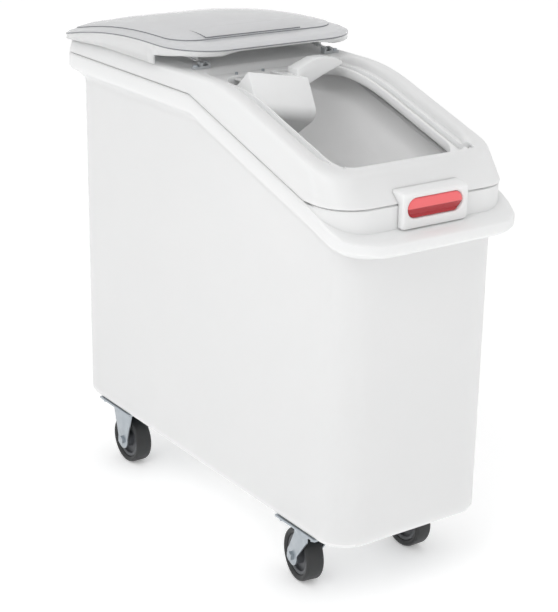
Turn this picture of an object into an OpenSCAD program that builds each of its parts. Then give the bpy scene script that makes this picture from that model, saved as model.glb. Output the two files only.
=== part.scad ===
/* [Tub] */
// Half of the tub's width, at the outside of its wall
tub_half_w = 128; // [118:1:138]
// Distance from the middle of the bin to the tub's front wall
tub_front = 334; // [324:1:344]
// Distance from the middle of the bin to the tub's rear wall
tub_rear = 352.5; // [345:0.5:356]
// Radius of the tub's upright corners
tub_corner_r = 43; // [30:1:55]
// Thickness of the tub's walls
tub_wall = 3.5; // [3:0.5:6]
// Thickness of the tub's floor
floor_t = 4; // [3:0.5:8]
// Height of the tub's underside over the floor it stands on
tub_base = 100; // [99:0.5:104]
// Height of the seam between tub and top frame over the rear deck
seam_z = 648.5; // [600:0.5:700]
// Angle of the sloping mouth
slope_deg = 17.33; // [16.5:0.01:18]
// Place along the bin where the seam turns from level to sloping
seam_bend_y = 2.2; // [-5:0.1:10]

/* [Rim and bumper] */
// Half of the rim's width
rim_half_w = 145; // [143:0.5:147]
// Place of the rim's rear face
rim_rear = 367.5; // [366:0.5:370]
// Radius of the rim's rear corners
rim_rear_r = 38; // [30:1:42]
// Height of the rim's band
rim_h = 26; // [18:1:32]
// How far the front bumper stands ahead of the tub's front wall
bumper_reach = 40.5; // [30:0.5:46]
// Plan radius of the bumper's corners
bumper_r = 62; // [50:1:70]
// Height of the bumper's front edge
bumper_h = 15.5; // [12:0.5:24]
// Height by which the bumper's shelf lies under the coaming's top
shelf_drop = 31.5; // [26:0.5:34]
// Height by which the coaming under the latch stands over the slope's seam line at the front
coaming_rise = 36; // [30:1:40]

/* [Top frame] */
// How far the top frame's wall stands in from the rim's edge at the seam
frame_step = 1; // [0.5:0.5:3]
// How much narrower the top frame is at its top, each side
frame_draft = 4; // [2:0.5:6]
// Thickness of the top frame's walls
frame_t = 3.5; // [2.5:0.5:4]
// Plan radius of the top frame's front corners at the seam
frame_seam_r = 52; // [46:1:56]
// Plan radius of the top frame's front corners at its top
frame_top_r = 46; // [40:1:50]
// Height of the top frame over the seam on the rear deck
deck_h = 27.5; // [26:0.5:29]
// How far the deck falls towards its rear edge
deck_fall = 11; // [9:0.5:12]
// Half of the mouth's width
mouth_half_w = 95; // [90:1:98]
// Place of the mouth's front edge
mouth_front = -283; // [-284:0.5:-276]
// Place of the mouth's rear edge
mouth_rear = 7.5; // [5:0.5:9]
// Width of the sunk ledge round the mouth
ledge_w = 21; // [18:1:22]
// Depth of the sunk ledge under the rail's top
ledge_depth = 11; // [8:0.5:12]

/* [Lid] */
// Half of the lid's width
lid_half_w = 152; // [151:0.5:153]
// Place of the lid's front edge when it lies open
lid_front = -4; // [-5:0.5:-3]
// Place of the lid's rear edge when it lies open
lid_rear = 372; // [371.5:0.5:373]
// Plan radius of the lid's front corners
lid_front_r = 68; // [60:1:72]
// Plan radius of the lid's rear corners
lid_rear_r = 50; // [44:1:54]
// Thickness of the lid's sheet
lid_t = 2.5; // [2:0.1:3]
// Height of the lid's front edge over the deck
lid_edge_h = 31; // [30:0.5:32]
// How far the lid's plateau stands over its edge
plateau_h = 6; // [6:0.5:12]
// Crown of the lid's plateau over its border
crown_h = 8; // [8:0.5:12]
// Half of the width of the window in the lid's front skirt
window_half_w = 63; // [58:1:66]
// Half of the width of the shallower notch round that window
notch_half_w = 92; // [88:1:94]
// Half of the width of the lid's flat crown
crown_half_w = 75; // [70:1:85]

/* [Latch] */
// Half of the width of the latch housing
housing_half_w = 53; // [50:1:56]
// Half of the width of the red latch
latch_half_w = 44; // [40:1:46]
// Radius of the latch pin
latch_pin_r = 2; // [1.5:0.25:2.5]

/* [Scoop] */
// Length of the scoop's bowl
bowl_l = 100; // [90:1:104]
// Depth of the scoop's bowl
bowl_d = 62; // [50:1:66]
// Width of the scoop's bowl
bowl_w = 66; // [60:1:70]
// Wall of the scoop
scoop_t = 2.2; // [1.8:0.1:3]
// Length of the scoop's handle
handle_l = 74; // [60:1:76]

/* [Casters] */
// Radius of the caster wheels
wheel_r = 38; // [36:0.5:38.5]
// Width of the tyre tread
tread_w = 28; // [24:1:30]
// Distance of each caster's middle from the tub's side wall
caster_inset = 33; // [30:1:40]
// Place of the rear casters' axles
rear_axle_y = 252; // [240:1:262]
// Place of the front casters' kingpins
kingpin_y = -238; // [-248:1:-230]
// How far a front caster's axle trails its kingpin
trail = 28; // [24:0.5:30]
// Angle at which the left front caster stands at rest
left_steer = -9; // [-20:1:20]
// Radius of the axle bolts
axle_r = 4; // [3:0.5:5]
// Thickness of the casters' steel
steel_t = 2.6; // [2:0.1:3.5]

/* [Hidden] */
$fn = 64;
gap = 0.5;            // clearance between flat pieces that move apart
seat = 0.2;           // clearance of a piece over the seat it rests on
fit = 0.05;           // radial clearance of a pin in its bore
big = 1200;           // longer than the bin, for cutting prisms
slope = tan(slope_deg);

// Heights and places along the slope
function seam_at(y) = y > seam_bend_y ? seam_z : seam_z - (seam_bend_y - y) * slope;
tub_top_front = -(tub_front + bumper_reach);
coaming_z = seam_at(-tub_front) + coaming_rise - 14.1;
coaming_y = seam_bend_y - (seam_z - coaming_z) / slope;
deck_z = seam_z + deck_h;
bumper_drop = 36;
frame_half_w = rim_half_w - frame_step;
frame_front = -tub_front - 3.5;
caster_x = tub_half_w - caster_inset;

// The frame's top line from rear to front: places and heights
bead_z = deck_z - 75.6;
bead_y = -313;
function bumper_at(y) = coaming_z - (y > frame_front
    ? (coaming_y - y) * shelf_drop / (coaming_y - frame_front)
    : shelf_drop + (frame_front - y) * (bumper_drop - shelf_drop) / (frame_front - tub_top_front));
function frame_top(d = 0) = [
    [rim_rear, deck_z - deck_fall - d],
    [300, deck_z - 0.5 * deck_fall - d],
    [200, deck_z - d],
    [-20, deck_z - d],
    [-62, deck_z - 5.2 - d],
    [-98, deck_z - 12 - d],
    [-128, deck_z - 18 - d],
    [bead_y, bead_z - d],
    [bead_y - 40, bead_z - 40 * slope - d]];

// Flat outline of half-width w from y0 to y1, with radius r0 on its front corners and r1 at the rear
module plan(w, y0, y1, r0, r1) {
    polygon([[-w, y0 + r0], [-w + r0, y0], [w - r0, y0], [w, y0 + r0],
        [w, y1 - r1], [w - r1, y1], [-w + r1, y1], [-w, y1 - r1]]);
    for (s = [-1, 1]) {
        translate([s * (w - r0), y0 + r0]) circle(r0);
        translate([s * (w - r1), y1 - r1]) circle(r1);
    }
}

// Upright prism over that outline
module prism(w, y0, y1, r0, r1, z0, z1) {
    translate([0, 0, z0]) linear_extrude(z1 - z0) plan(w, y0, y1, r0, r1);
}

// A side outline in Y and Z, carried across the bin from x0 to x1
module across(points, x0, x1) {
    translate([x0, 0, 0]) rotate([90, 0, 90]) linear_extrude(x1 - x0) polygon(points);
}

// Cylinder along X from x0 to x1
module rod(r, x0, x1, y, z) {
    translate([x0, y, z]) rotate([0, 90, 0]) cylinder(r = r, h = x1 - x0);
}

// ---- hinge at the rear ----
hinge_r = 7;
hinge_pin_r = 3;
knuckle_l = 16;
function hinge_x(s) = s * 82;

// Rear knuckles: the outer pair of each hinge is on the tub, the middle one on the frame
module knuckle(s, i, grow = 0) {
    x = hinge_x(s) + i * (knuckle_l + gap);
    rod(hinge_r + grow, x - knuckle_l / 2 - grow, x + knuckle_l / 2 + grow, rim_rear, seam_z);
}

module under_seam(lift = 0) {
    across([[big, 0], [big, seam_z + lift], [seam_bend_y, seam_z + lift],
        [coaming_y, coaming_z + lift], [-big, coaming_z + lift], [-big, 0]], -rim_half_w * 2, rim_half_w * 2);
}

pad_h = 12;
plate_l = 92;
plate_w = 66;
screw_r = 3;
screw_dx = 26;
screw_dy = 36;

module tub() color("white") {
    difference() {
        union() {
            intersection() {
                prism(tub_half_w, -tub_front, tub_rear, tub_corner_r, tub_corner_r, tub_base, seam_z);
                under_seam();
            }
            // rim band with its stepped-in underside
            intersection() {
                prism(rim_half_w, tub_top_front, rim_rear, bumper_r, rim_rear_r, tub_base, seam_z);
                across([[big, seam_z], [seam_bend_y, seam_z], [coaming_y, coaming_z],
                    [frame_front, coaming_z - shelf_drop], [tub_top_front, coaming_z - bumper_drop],
                    [tub_top_front, coaming_z - bumper_drop - bumper_h],
                    [coaming_y, coaming_z - rim_h], [seam_bend_y, seam_z - rim_h], [big, seam_z - rim_h]],
                    -rim_half_w, rim_half_w);
            }
            intersection() {
                prism(rim_half_w - 8, -tub_front - 4, rim_rear - 8, bumper_r - 8, rim_rear_r,
                    tub_base, seam_z);
                across([[big, seam_z], [seam_bend_y, seam_z], [coaming_y, coaming_z],
                    [-tub_front - 4, coaming_z - 32], [-tub_front - 4, coaming_z - 54],
                    [coaming_y, coaming_z - rim_h - 9], [seam_bend_y, seam_z - rim_h - 9],
                    [big, seam_z - rim_h - 9]], -rim_half_w, rim_half_w);
            }
            // coaming that carries the frame's front bar
            intersection() {
                prism(frame_half_w - 1, frame_front, rim_rear, frame_seam_r, rim_rear_r, tub_base, seam_z);
                across([[coaming_y, coaming_z], [-big, coaming_z], [-big, coaming_z - 44],
                    [frame_front, coaming_z - 40], [coaming_y, coaming_z - 20]], -rim_half_w, rim_half_w);
            }
            for (s = [-1, 1]) {
                for (i = [-1, 1])
                    knuckle(s, i);
                // detent rib that the latch's hook faces
                translate([s * 20 - 8, frame_front - 2, coaming_z - 16.5]) cube([16, 4, 4]);
            }
        }
        prism(tub_half_w - tub_wall, -tub_front + tub_wall, tub_rear - tub_wall,
            tub_corner_r - tub_wall, tub_corner_r - tub_wall, tub_base + floor_t, seam_z + 1);
        for (s = [-1, 1]) {
            knuckle(s, 0, gap);
            rod(hinge_pin_r + fit, hinge_x(s) - 30, hinge_x(s) + 30, rim_rear, seam_z);
            for (y = [rear_axle_y, kingpin_y])
                screw_holes(s * caster_x, y);
        }
    }
    // inner pads that take the caster screws
    for (s = [-1, 1], y = [rear_axle_y, kingpin_y])
        difference() {
            translate([s * caster_x - plate_w / 2 + (s > 0 ? 0 : 4), y - plate_l / 2, tub_base + floor_t])
                cube([plate_w - 4, plate_l, pad_h - floor_t]);
            screw_holes(s * caster_x, y);
            corner_trim(s);
        }
}

// What is cut off a pad where the tub's wall stands in its way
module corner_trim(s) {
    difference() {
        translate([s > 0 ? 0 : -big, -big / 2, 0]) cube([big, big, seam_z]);
        prism(tub_half_w - tub_wall / 2, -tub_front + tub_wall / 2, tub_rear - tub_wall / 2,
            tub_corner_r - tub_wall / 2, tub_corner_r - tub_wall / 2, 0, seam_z);
    }
}

module screw_holes(x, y) {
    for (i = [-1, 1], j = [-1, 1])
        translate([x + i * screw_dx, y + j * screw_dy, tub_base - 1])
            cylinder(r = screw_r + fit, h = pad_h - 0.5);
}

module hinge_pin(s) color("silver")
    rod(hinge_pin_r, hinge_x(s) - 25, hinge_x(s) + 25, rim_rear, seam_z);

// ---- top frame ----
module frame_hull(inset) {
    w = frame_half_w - inset;
    wt = frame_half_w - frame_draft - inset;
    pts = frame_top(inset);
    hull() {
        for (s = [-1, 1]) {
            translate([s * (w - rim_rear_r), rim_rear - rim_rear_r - inset, seam_z])
                cylinder(r = rim_rear_r, h = 0.1, $fn = 32);
            translate([s * (wt - rim_rear_r), rim_rear - rim_rear_r - inset, pts[0][1]])
                cylinder(r = rim_rear_r, h = 0.1, $fn = 32);
            translate([s * (wt - frame_top_r), bead_y + frame_top_r + inset, pts[7][1] + frame_top_r * slope])
                rotate([slope_deg, 0, 0]) cylinder(r = frame_top_r, h = 0.1, $fn = 32);
            translate([s * (w - frame_seam_r), frame_front + frame_seam_r + inset, coaming_z])
                cylinder(r = frame_seam_r, h = 0.1, $fn = 32);
        }
        for (i = [1:6])
            translate([-wt, pts[i][0], pts[i][1] - 0.1]) cube([2 * wt, 0.1, 0.1]);
        translate([-w, seam_bend_y, seam_z]) cube([2 * w, 0.1, 0.1]);
        translate([-w, coaming_y, coaming_z]) cube([2 * w, 0.1, 0.1]);
    }
}

// Band that follows the frame's top line between two depths under it
module top_band(d0, d1) {
    a = frame_top(d0);
    b = frame_top(d1);
    across(concat(a, [for (i = [len(b) - 1:-1:0]) b[i]]), -rim_half_w, rim_half_w);
}

tray_w = mouth_half_w + ledge_w;
tray_front = mouth_front - 2;
groove_front = mouth_front - 8;
lip_depth = 2;
tray_rear = mouth_rear + 14;
module tray_prism(g, z0 = 500, z1 = 720)
    prism(tray_w + g, tray_front - g, tray_rear + g, 44 + g, 40 + g, z0, z1);
module mouth_prism(g, z0 = 500, z1 = 720)
    prism(mouth_half_w + g, mouth_front - g, mouth_rear + g, 38 + g, 36 + g, z0, z1);

groove_half_w = 6;
groove_depth = 18.5;
module grooves(w, y0)
    for (s = [-1, 1])
        translate([s * rib_x - w, y0, 500]) cube([2 * w, mouth_rear - y0, 220]);
module groove_cut() intersection() {
    grooves(groove_half_w, groove_front);
    top_band(-60, groove_depth);
}

housing_face = -tub_front - 13.5;
housing_low = bumper_at(housing_face) + gap;
housing_top = coaming_z + 16;

module top_frame() color("white") {
    difference() {
        union() {
            difference() {
                frame_hull(0);
                frame_hull(frame_t);
                under_seam(seat);
                tray_prism(0);
                groove_cut();
            }
            // sunk ledge round the mouth with the grooves that the lid's ribs dip into
            difference() {
                union() {
                    intersection() {
                        tray_prism(3);
                        top_band(0.5, ledge_depth + 3);
                    }
                    intersection() {
                        grooves(groove_half_w + 2.5, groove_front - 2.5);
                        top_band(0.5, groove_depth + 2.5);
                    }
                }
                intersection() {
                    tray_prism(0);
                    top_band(-60, ledge_depth);
                }
                groove_cut();
                mouth_prism(0);
            }
            intersection() {
                difference() {
                    mouth_prism(3);
                    mouth_prism(0);
                }
                top_band(lip_depth, groove_depth + 6);
            }
            // pads that the open lid's ribs lie on
            for (s = [-1, 1])
                intersection() {
                    translate([s * rib_x - 6, lid_rear - 34, seam_z + 6.5]) cube([12, 12, deck_h]);
                    pole_disc(rib_r - seat);
                }
            // latch housing
            across([[housing_face, housing_low], [housing_face, housing_top - 5],
                [housing_face + 4, housing_top],
                [housing_face + 27, housing_top + 1], [housing_face + 27, coaming_z + gap],
                [frame_front - 1, coaming_z + gap], [frame_front - 1, bumper_at(frame_front - 1) + gap]],
                -housing_half_w, housing_half_w);
            for (s = [-1, 1])
                knuckle(s, 0);
        }
        latch_recess();
        // the rack's plate and prongs pass under the rear of the mouth
        translate([rack_x - 34.5, mouth_rear - 1, rack_top - 30]) cube([69, 5, 30]);
        rod(latch_pin_r + fit, -latch_half_w - 6, latch_half_w + 6, latch_y, latch_z);
        for (s = [-1, 1]) {
            rod(hinge_pin_r + fit, hinge_x(s) - 30, hinge_x(s) + 30, rim_rear, seam_z);
            for (i = [-1, 1])
                knuckle(s, i, gap);
            // holes for the screws of the rack and of the glide blocks
            small_hole(rack_x + s * rack_screw_dx, rack_screw_y);
            small_hole(s * (rib_x + block_screw_dx), block_y + block_l / 2);
        }
    }
}

// ---- latch ----
latch_z = coaming_z + 5;
latch_y = housing_face + 5.2;
latch_h = 27;
latch_swing = 2.9;
module latch_outline(g) {
    translate([0, housing_face, latch_z - 10]) rotate([90, 0, 0]) translate([0, 0, -13]) linear_extrude(19) {
        square([2 * (latch_half_w - 10), latch_h - 2 * g], center = true);
        for (s = [-1, 1])
            translate([s * (latch_half_w - 13), 0]) circle(latch_h / 2 - g);
    }
}
module latch_recess() {
    latch_outline(0);
    rod(4.4, -latch_half_w + 3, latch_half_w - 3, latch_y, latch_z);
}

module latch() color("red") difference() {
    union() {
        // thumb plate, which falls back from its upper edge and ends in a pull
        intersection() {
            across([[housing_face + 0.4, latch_z - 0.9], [housing_face + 6, latch_z + 2.2],
                [housing_face + 8, latch_z + 2.2], [housing_face + 8, latch_z - 6.5],
                [housing_face + 6.5, latch_z - 21], [housing_face + 4.2, latch_z - 23.2],
                [housing_face + 1.6, latch_z - 22.6], [housing_face + 4.2, latch_z - 19],
                [housing_face + 4.6, latch_z - 9], [housing_face + 0.4, latch_z - 6]],
                -latch_half_w + 0.6, latch_half_w - 0.6);
            latch_outline(0.4);
            // room over the rounded ends for the swing
            translate([0, 0, -latch_swing]) latch_outline(0.2);
        }
        rod(3.9, -latch_half_w + 4, latch_half_w - 4, latch_y, latch_z);
    }
    rod(latch_pin_r + fit, -latch_half_w - 6, latch_half_w + 6, latch_y, latch_z);
    rod(4.9, -4.3, 4.3, latch_y, latch_z);
}

module latch_pin() color("silver")
    rod(latch_pin_r, -latch_half_w - 3, latch_half_w + 3, latch_y, latch_z);

module latch_spring() color("silver")
    for (i = [-2:2])
        translate([i * 1.5, latch_y, latch_z]) rotate([0, 90, 0])
            rotate_extrude() translate([latch_pin_r + 0.95, 0]) circle(0.8);

// ---- scoop and its rack ----
rack_x = -37;
rack_screw_dx = 22;
rack_screw_y = mouth_rear + 7;
small_screw_r = 2;
rack_top = deck_z - ledge_depth - 3;
prong_dx = 25;
prong_end = -70;
module scoop_rack() color("gainsboro") difference() {
    union() {
        translate([rack_x - 34, mouth_rear - 1, rack_top - 3 - fit]) cube([68, 14, 3]);
        for (s = [-1, 1])
            translate([rack_x + s * prong_dx - 5, prong_end, rack_top - 3 - fit])
                cube([10, mouth_rear - prong_end, 3]);
    }
    for (s = [-1, 1])
        small_hole(rack_x + s * rack_screw_dx, rack_screw_y);
    // the prongs' ends follow the slope of the bowl's wall
    scoop_place() translate([-200, -200, -200 + scoop_t + seat]) cube([400, 400, 200]);
}
module small_hole(x, y) translate([x, y, seam_z - 10]) cylinder(r = small_screw_r + fit, h = deck_h + 30);
module small_screw(x, y, z_head, up) translate([x, y, z_head]) mirror([0, 0, up > 0 ? 0 : 1]) {
    translate([0, 0, -2.4]) cylinder(r = 4, h = 2.4);
    cylinder(r = small_screw_r, h = 9);
}
module frame_screws() color("silver") for (s = [-1, 1]) {
    small_screw(rack_x + s * rack_screw_dx, rack_screw_y, rack_top - 3 - fit, 1);
    small_screw(s * (rib_x + block_screw_dx), block_y + block_l / 2, deck_z + 3, -1);
}

// The bowl's own frame: x along the bowl, y down its sloping wall, z from the wall into the bowl
scoop_lean = 128.5;
scoop_roll = 10.3;
scoop_top = [-36, -52.5, 674];
module scoop_place()
    translate(scoop_top) rotate([0, scoop_roll, 0]) rotate([-scoop_lean, 0, 0]) children();

bowl_r = 16;
module bowl_outline(g) {
    translate([-20, g]) square([bowl_w - bowl_r + 20 - 6, bowl_d - 2 * g]);
    translate([-20, g + bowl_r - g]) square([bowl_w + 20 - 6 - g, bowl_d - 2 * bowl_r]);
    for (v = [bowl_r, bowl_d - bowl_r])
        translate([bowl_w - 6 - bowl_r, v]) circle(bowl_r - g);
}
module scoop() color("whitesmoke") {
    scoop_place() difference() {
        intersection() {
            translate([bowl_l / 2, 0, 0]) rotate([0, -90, 0]) linear_extrude(bowl_l)
                mirror([1, -1]) bowl_outline(0);
            // the bowl's mouth is cut back at an angle
            rotate([0, -90, 0]) linear_extrude(bowl_l * 2, center = true)
                polygon([[-1, 0], [0, 0], [bowl_d + 1, 10], [bowl_d + 1, 90], [-1, 90]]);
        }
        translate([bowl_l / 2 - scoop_t, 0, 0]) rotate([0, -90, 0]) linear_extrude(bowl_l - 2 * scoop_t)
            mirror([1, -1]) bowl_outline(scoop_t);
    }
    // hood and cheek that join the bowl's closed end to the handle
    translate(scoop_top) rotate([0, scoop_roll, 0]) {
        translate([16, 0.4, -scoop_t - 0.3]) cube([bowl_l / 2 - 16.6, 38, scoop_t]);
        across([[1, -1], [38, -1], [49, -40], [10, -20]], bowl_l / 2 - scoop_t + 0.3, bowl_l / 2 - 0.3);
    }
    // handle, a channel that is open below
    difference() {
        along(handle_line(0), handle_y, handle_y + handle_w);
        along(handle_line(scoop_t), handle_y + scoop_t, handle_y + handle_w - scoop_t);
    }
}
handle_w = 22;
handle_y = -37;
handle_z = 657;
function handle_line(g) = [[10 + 2 * g, handle_z - 12 - 9 * g], [6 + 3 * g, handle_z + 17 - g],
    [20, handle_z + 22 - g], [38, handle_z + 28.5 - g], [55, handle_z + 29 - g],
    [handle_l - 4 - g, handle_z + 27 - g], [handle_l + 8 - 5 * g, handle_z + 21.5 - g],
    [handle_l + 10 - 6 * g, handle_z + 17 - 3 * g], [handle_l - 16 - 3 * g, handle_z + 8 - 4 * g],
    [39, handle_z - 6 * g]];

// An outline in X and Z, carried along the bin from y0 to y1
module along(points, y0, y1) {
    translate([0, y1, 0]) rotate([90, 0, 0]) linear_extrude(y1 - y0) polygon(points);
}

// ---- lid ----
lid_z = deck_z + lid_edge_h;
lid_pole_y = 165;
lid_pole_z = -406;
// Wide disc about the lid's pole, the line that the open lid swings round as it runs forward
module pole_disc(r) rod(r, -rim_half_w, rim_half_w, lid_pole_y, lid_pole_z, $fn = 720);

rib_x = 104;
rib_r = 1095.5;
rib_foot_t = 2;
rib_y0 = 27.5;
block_y = 22.5;
block_l = 9.5;
block_screw_dx = 13;
plateau_in = 7;
tail_rise = 3;
lid_edge = [[lid_front, 0], [60, 1], [130, 0], [185, -6], [247, -12], [296, -21], [334, -27],
    [lid_rear, -33.5]];

module lid_hull(inset) {
    w = lid_half_w - inset;
    y0 = lid_front + inset;
    y1 = lid_rear - inset;
    r0 = lid_front_r - inset;
    r1 = lid_rear_r - inset;
    z0 = lid_z - inset;
    p = plateau_in;
    hull() {
        for (s = [-1, 1]) {
            translate([s * (w - r0), y0 + r0, z0 - 0.5]) cylinder(r = r0, h = 0.1, $fn = 48);
            translate([s * (w - r1), y1 - r1, z0 + lid_edge[7][1]]) cylinder(r = r1, h = 0.1, $fn = 32);
            translate([s * (w - r0), y0 + r0, z0 + plateau_h]) cylinder(r = r0 - p, h = 0.1, $fn = 48);
            translate([s * (w - r1), y1 - r1, z0 + lid_edge[7][1] + plateau_h])
                cylinder(r = r1 - p, h = 0.1, $fn = 32);
        }
        for (i = [1:6])
            translate([-w, lid_edge[i][0], z0 + lid_edge[i][1]]) cube([2 * w, 0.1, 0.1]);
        for (i = [2:6])
            translate([-w + p, lid_edge[i][0], z0 + lid_edge[i][1] + plateau_h])
                cube([2 * (w - p), 0.1, 0.1]);
        for (i = [1:6])
            translate([-crown_half_w, lid_edge[i][0],
                z0 + lid_edge[i][1] + plateau_h + crown_h + (i > 4 ? tail_rise : 0)])
                cube([2 * crown_half_w, 0.1, 0.1]);
    }
}

// Lower edge of the skirt, from the front to the rear
skirt_low = [[lid_front - 5, lid_z - 10.8], [26, lid_z - 11.5], [82, lid_z - 18], [82, lid_z - 30],
    [185, lid_z - 29], [232, lid_z - 31], [271, lid_z - 33], [328, lid_z - 37], [lid_rear + 5, lid_z - 37.5]];
below_lid = lid_z - 110;
module lid() color([0.75, 0.76, 0.78, 0.6]) {
    difference() {
        union() {
            difference() {
                lid_hull(0);
                lid_hull(lid_t);
                across([[lid_front - 9, lid_z - 90], [lid_front - 9, lid_z - 0.6],
                    for (i = [0:7]) [lid_edge[i][0] + (i == 7 ? 5 : 0), lid_z + lid_edge[i][1] - 0.6],
                    [lid_rear + 9, lid_z - 90]], -rim_half_w * 2, rim_half_w * 2);
            }
            intersection() {
                difference() {
                    prism(lid_half_w, lid_front, lid_rear, lid_front_r, lid_rear_r, below_lid, lid_z + 1.2);
                    prism(lid_half_w - lid_t, lid_front + lid_t, lid_rear - lid_t, lid_front_r - lid_t,
                        lid_rear_r - lid_t, below_lid, lid_z + 50);
                }
                across(concat(skirt_low, [for (i = [7:-1:0]) [lid_edge[i][0] + (i == 7 ? 5 : i == 0 ? -5 : 0),
                    lid_z + lid_edge[i][1]]]), -lid_half_w, lid_half_w);
            }
        }
        // window in the front skirt, with a wider notch that clears the hanging scoop
        translate([-window_half_w, lid_front - 10, below_lid])
            cube([2 * window_half_w, 30, lid_z - below_lid - 6]);
        translate([-notch_half_w, lid_front - 10, below_lid])
            cube([2 * notch_half_w, 30, lid_z - below_lid - 8.5]);
        // gaps in the rear skirt for the pads on the deck
        for (s = [-1, 1])
            translate([s * rib_x - 9, lid_rear - 10, below_lid])
                cube([18, 20, lid_z - below_lid + lid_edge[7][1] - lid_t]);
    }
    for (s = [-1, 1])
        rib(s);
}

// Running rib: a web under the sheet with a wider foot, both curved about the lid's pole
module rib(s) {
    y1 = lid_rear - lid_t - 3.5;
    intersection() {
        difference() {
            lid_hull(lid_t / 2);
            pole_disc(rib_r + rib_foot_t / 2);
        }
        translate([s * rib_x - 1.5, rib_y0, below_lid]) cube([3, y1 - rib_y0, 2 * (lid_z - below_lid)]);
    }
    intersection() {
        difference() {
            pole_disc(rib_r + rib_foot_t);
            pole_disc(rib_r);
        }
        translate([s * rib_x - 4, rib_y0, below_lid]) cube([8, y1 - rib_y0, 2 * (lid_z - below_lid)]);
    }
}

// Glide block on the deck: its channel holds the foot of a rib
module glide_block(s) color("gray") difference() {
    union() {
        translate([s * rib_x - 7.5, block_y, deck_z + fit]) cube([15, block_l, 13]);
        translate([s * rib_x + (s > 0 ? 0 : -block_screw_dx - 5), block_y, deck_z + fit])
            cube([block_screw_dx + 5, block_l, 3 - fit]);
    }
    difference() {
        translate([s * rib_x - 4.4, block_y - 1, deck_z]) cube([8.8, block_l + 2, 30]);
        pole_disc(rib_r - seat);
        difference() {
            pole_disc(rib_r + 20);
            pole_disc(rib_r + rib_foot_t + seat);
        }
    }
    translate([s * rib_x - 1.9, block_y - 1, deck_z + 4]) cube([3.8, block_l + 2, 30]);
    difference() {
        translate([s * rib_x - 9, block_y - 1, deck_z + 4]) cube([18, block_l + 2, 30]);
        pole_disc(rib_r + rib_foot_t + seat + 1.3);
    }
    small_hole(s * (rib_x + block_screw_dx), block_y + block_l / 2);
}

// ---- casters ----
hub_r = 13;
hub_half_w = 15.6;
leg_x = 16;
module tyre(y) color([0.18, 0.18, 0.18]) translate([0, y, wheel_r]) rotate([0, 90, 0]) rotate_extrude()
    polygon([[29, -tread_w / 2 + 3], [wheel_r - 3, -tread_w / 2], [wheel_r, -tread_w / 2 + 3],
        [wheel_r, tread_w / 2 - 3], [wheel_r - 3, tread_w / 2], [29, tread_w / 2 - 3]]);
module wheel(y) color([0.25, 0.25, 0.26]) translate([0, y, wheel_r]) rotate([0, 90, 0]) rotate_extrude()
    polygon([[6.5, -hub_half_w], [hub_r, -hub_half_w], [hub_r, -5], [24, -4], [24, -9], [28.95, -10],
        [28.95, 10], [24, 9], [24, 4], [hub_r, 5], [hub_r, hub_half_w], [6.5, hub_half_w]]);
module bearing(y) color("gray") difference() {
    rod(6.45, -hub_half_w - 0.2, hub_half_w + 0.2, y, wheel_r);
    rod(axle_r + fit, -30, 30, y, wheel_r);
}
module bolt(y) color("silver") {
    rod(axle_r, -leg_x - steel_t, leg_x + steel_t + 9, y, wheel_r);
    rod(7, -leg_x - steel_t - 4.5, -leg_x - steel_t, y, wheel_r, $fn = 6);
}
module nut(y) color("silver") difference() {
    rod(7.4, leg_x + steel_t, leg_x + steel_t + 6, y, wheel_r, $fn = 6);
    rod(axle_r + fit, -30, 60, y, wheel_r);
}
module caster_screws(y) color("silver")
    for (i = [-1, 1], j = [-1, 1])
        translate([i * screw_dx, y + j * screw_dy, tub_base - steel_t - 3.5]) union() {
            cylinder(r = 5.5, h = 3.5, $fn = 6);
            cylinder(r = screw_r, h = 14.5);
        }
module mount_plate(y) difference() {
    translate([-plate_w / 2, y - plate_l / 2, tub_base - steel_t]) cube([plate_w, plate_l, steel_t]);
    for (i = [-1, 1], j = [-1, 1])
        translate([i * screw_dx, y + j * screw_dy, tub_base - 10]) cylinder(r = screw_r + fit, h = 20);
}
// one leg, as a side outline that narrows to a round end at the axle
module leg(x, y_axle, y_a, y_b, z_top) difference() {
    union() {
        across([[y_axle - 13.5, wheel_r + 3], [y_axle + 13.5, wheel_r + 3], [y_b, z_top - 12], [y_b, z_top],
            [y_a, z_top], [y_a, z_top - 12]], x, x + steel_t);
        rod(14, x, x + steel_t, y_axle, wheel_r);
    }
    rod(axle_r + fit, -60, 60, y_axle, wheel_r);
}
module rear_rig() color("lightsteelblue") {
    mount_plate(0);
    for (s = [-1, 1])
        leg(s > 0 ? leg_x : -leg_x - steel_t, 0, -26, 26, tub_base - steel_t);
}
ball_r = 2.5;
race_r = 17;
crown_z = tub_base - steel_t - 12;
kingpin_r = 5;
module ball_race() translate([0, 0, crown_z + 3 + ball_r + 0.4])
    rotate_extrude() translate([race_r, 0]) circle(ball_r + 0.15);
module front_plate() color("lightsteelblue") {
    mount_plate(0);
    difference() {
        translate([0, 0, tub_base - steel_t - 4]) cylinder(r = 25, h = 4);
        translate([0, 0, tub_base - steel_t - 20]) cylinder(r = kingpin_r + fit, h = 40);
        ball_race();
    }
}
module balls() color("silver")
    for (a = [0:30:330])
        rotate(a) translate([race_r, 0, crown_z + 3 + ball_r + 0.4]) sphere(ball_r, $fn = 24);
module kingpin() color("silver") {
    translate([0, 0, crown_z - 0.3]) cylinder(r = kingpin_r, h = tub_base - steel_t - crown_z);
    translate([0, 0, crown_z - 3.3]) cylinder(r = 8.5, h = 3);
}
module fork() color("lightsteelblue") {
    difference() {
        union() {
            translate([0, 0, crown_z]) cylinder(r = 25, h = 4.5);
            translate([-leg_x - steel_t, -14, crown_z]) cube([2 * (leg_x + steel_t), 36, 3]);
        }
        translate([0, 0, crown_z - 10]) cylinder(r = kingpin_r + fit, h = 40);
        ball_race();
    }
    for (s = [-1, 1])
        leg(s > 0 ? leg_x : -leg_x - steel_t, trail, -14, 22, crown_z + 3);
}

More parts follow.
